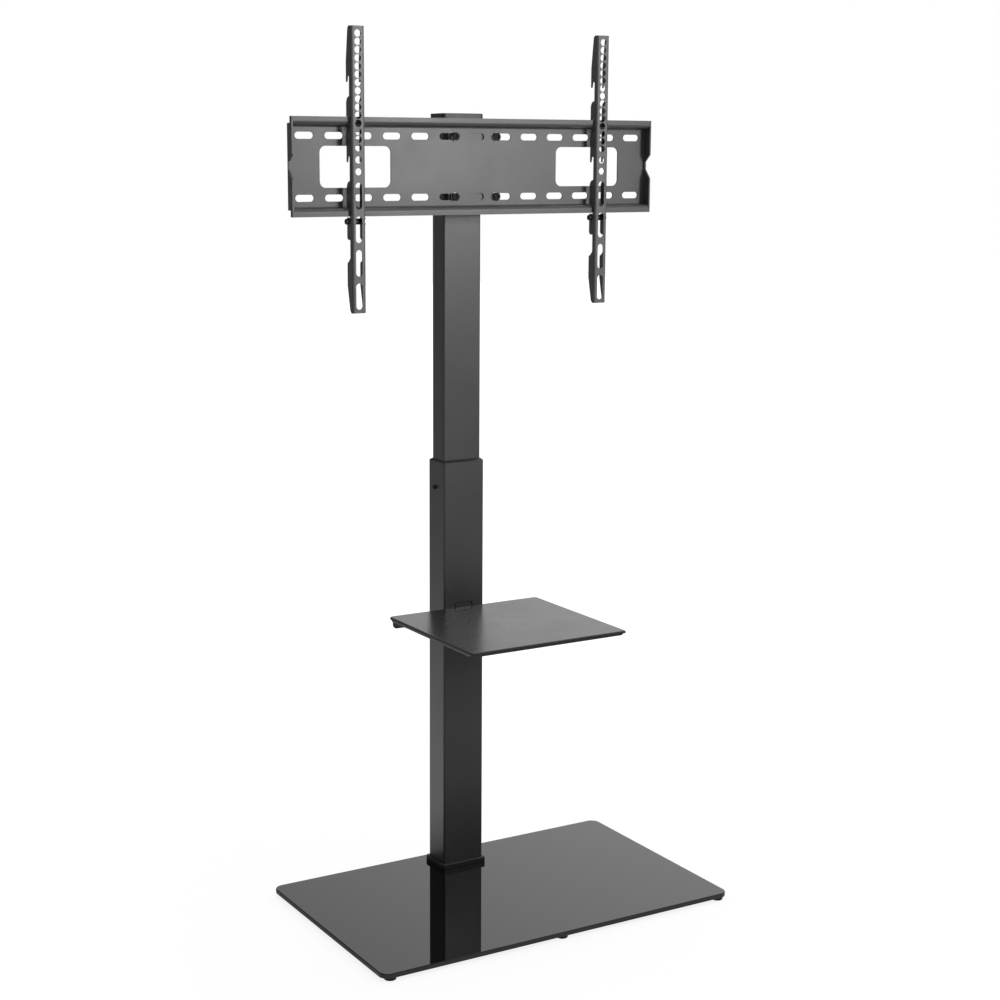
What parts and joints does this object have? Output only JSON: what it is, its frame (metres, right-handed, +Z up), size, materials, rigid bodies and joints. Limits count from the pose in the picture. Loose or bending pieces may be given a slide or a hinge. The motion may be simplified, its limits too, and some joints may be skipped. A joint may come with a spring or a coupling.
{
  "type": "tv stand with mount",
  "caption": "Free-standing television stand: black glass base, telescopic rectangular steel column, equipment shelf, and a slotted mounting plate with two hooked arms.",
  "frame": {"origin": "on the floor, under the middle of the glass base and of the whole stand", "axes": "+X to the right, -Y to the front where the television hangs, +Z up along the column"},
  "size_m": [0.66, 0.396, 1.4079],
  "materials": {
    "black_glass": "polished black tempered glass",
    "black_rubber": "matte",
    "black_steel": "satin black paint",
    "zinc_steel": "zinc plated",
    "bright_steel": "bright plated",
    "black_oxide_steel": "black oxide",
    "white_nylon": "natural nylon",
    "black_plastic": "fine grained",
    "cap_plastic": "fine grained",
    "column_powder": "satin powder coat",
    "shelf_powder": "satin powder coat",
    "plate_powder": "satin powder coat",
    "arm_powder": "satin powder coat"
  },
  "bodies": {
    "stand": {"base_glass": "black_glass", "base_feet": "black_rubber", "under_plate": "black_steel", "under_gasket": "black_rubber", "foot_gasket": "black_rubber", "base_screws": "zinc_steel", "glass_sleeves": "white_nylon", "foot_plate": "black_steel", "base_collar": "black_plastic", "lower_tube": "column_powder", "guide_bush": "black_plastic", "shelf_panel": "shelf_powder", "shelf_bolts": "zinc_steel", "shelf_washers": "zinc_steel", "shelf_nuts": "zinc_steel"},
    "mast": {"upper_tube": "column_powder", "slide_block": "black_plastic", "top_cap": "cap_plastic", "head_bracket": "plate_powder", "cross_bolts": "zinc_steel", "cross_washers": "zinc_steel", "cross_nuts": "zinc_steel", "mount_plate": "plate_powder", "plate_bolts": "bright_steel", "plate_washers": "bright_steel", "plate_nuts": "zinc_steel"},
    "left_arm": {"arm_left": "arm_powder", "arm_left_sleeve": "black_plastic", "arm_left_nut": "zinc_steel"},
    "right_arm": {"arm_right": "arm_powder", "arm_right_sleeve": "black_plastic", "arm_right_nut": "zinc_steel"},
    "height_lock": {"height_lock_screw": "black_oxide_steel"},
    "left_arm_lock": {"arm_left_lock_screw": "black_oxide_steel"},
    "right_arm_lock": {"arm_right_lock_screw": "black_oxide_steel"}
  },
  "joints": [
    {"name": "height_slide", "type": "slide", "parent": "stand", "child": "mast", "axis": [0, 0, 1], "range_m": [-0.3, 0.05]},
    {"name": "left_arm_slide", "type": "slide", "parent": "mast", "child": "left_arm", "axis": [1, 0, 0], "range_m": [-0.087, 0.158]},
    {"name": "right_arm_slide", "type": "slide", "parent": "mast", "child": "right_arm", "axis": [-1, 0, 0], "range_m": [-0.0825, 0.163]},
    {"name": "height_lock_turn", "type": "hinge", "parent": "stand", "child": "height_lock", "pos_m": [-0.0383, 0.152, 0.674], "axis": [-1, 0, 0], "range_deg": [0, 270]},
    {"name": "left_arm_lock_turn", "type": "hinge", "parent": "left_arm", "child": "left_arm_lock", "pos_m": [-0.234, 0.0756, 1.1161], "axis": [-1, 0, 0], "range_deg": [0, 270]},
    {"name": "right_arm_lock_turn", "type": "hinge", "parent": "right_arm", "child": "right_arm_lock", "pos_m": [0.214, 0.0756, 1.1161], "axis": [-1, 0, 0], "range_deg": [0, 270]}
  ]
}
